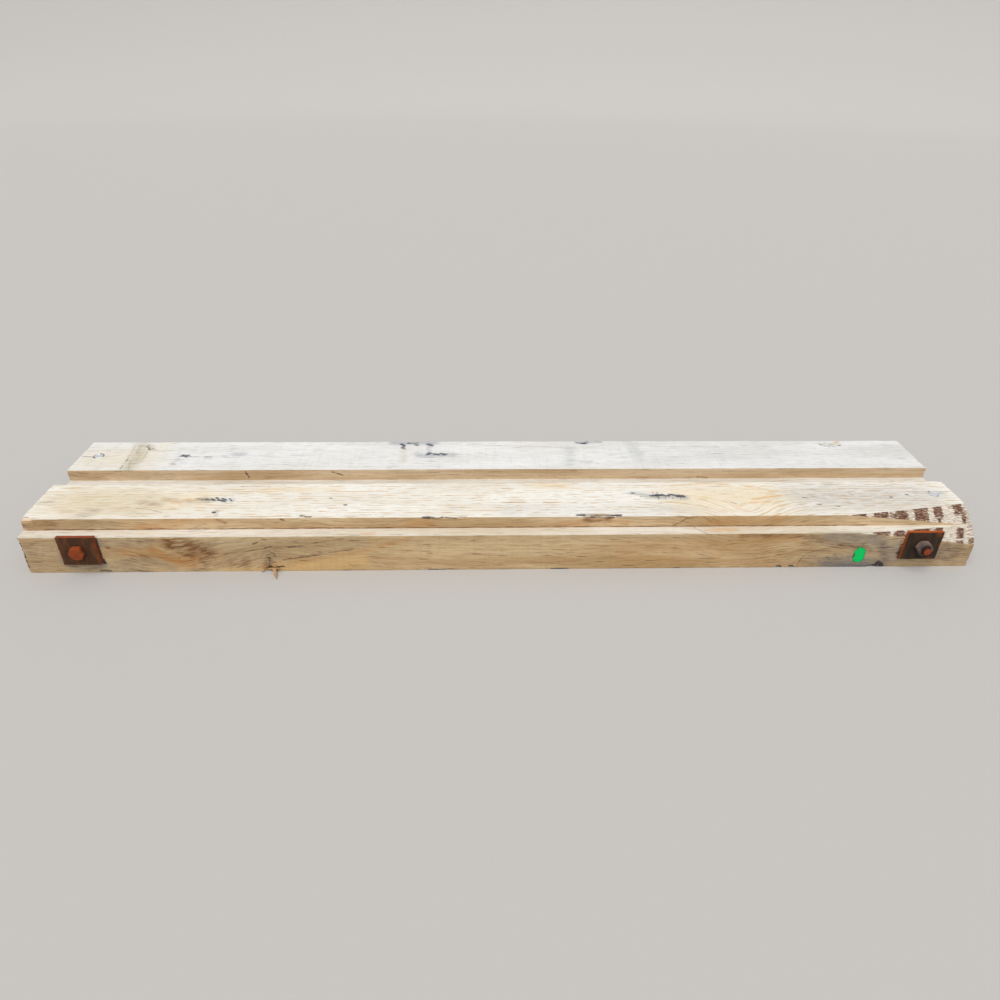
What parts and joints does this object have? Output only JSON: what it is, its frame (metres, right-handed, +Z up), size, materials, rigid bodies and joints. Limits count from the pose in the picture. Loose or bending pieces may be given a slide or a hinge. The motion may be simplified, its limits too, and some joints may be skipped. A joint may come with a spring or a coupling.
{
  "type": "coupled railway sleeper",
  "caption": "Double railway sleeper: stepped oak beams side by side, clamped by through bolts with square plate washers, one end rounded by the log's own surface.",
  "frame": {"origin": "midway along, at the bottom, in the plane where the two sleepers meet", "axes": "+X along the sleepers towards the end with the wane, +Y from the front sleeper to the rear one, +Z up"},
  "size_m": [2.6, 0.6, 0.15],
  "materials": {
    "sawn_oak": "rough sawn oak, untreated, bleached on top",
    "rusted_bolt_steel": "orange rusted steel",
    "rusted_plate_steel": "dark brown rusted steel",
    "nail_aluminium": "bright, lightly scratched"
  },
  "bodies": {
    "root": {"front_sleeper": "sawn_oak", "rear_sleeper": "sawn_oak", "left_tie_bolt": "rusted_bolt_steel", "right_tie_bolt": "rusted_bolt_steel", "left_nut": "rusted_bolt_steel", "right_nut": "rusted_bolt_steel", "front_left_plate": "rusted_plate_steel", "rear_left_plate": "rusted_plate_steel", "front_right_plate": "rusted_plate_steel", "rear_right_plate": "rusted_plate_steel", "front_marking_nail": "nail_aluminium", "rear_marking_nail": "nail_aluminium"}
  },
  "joints": []
}
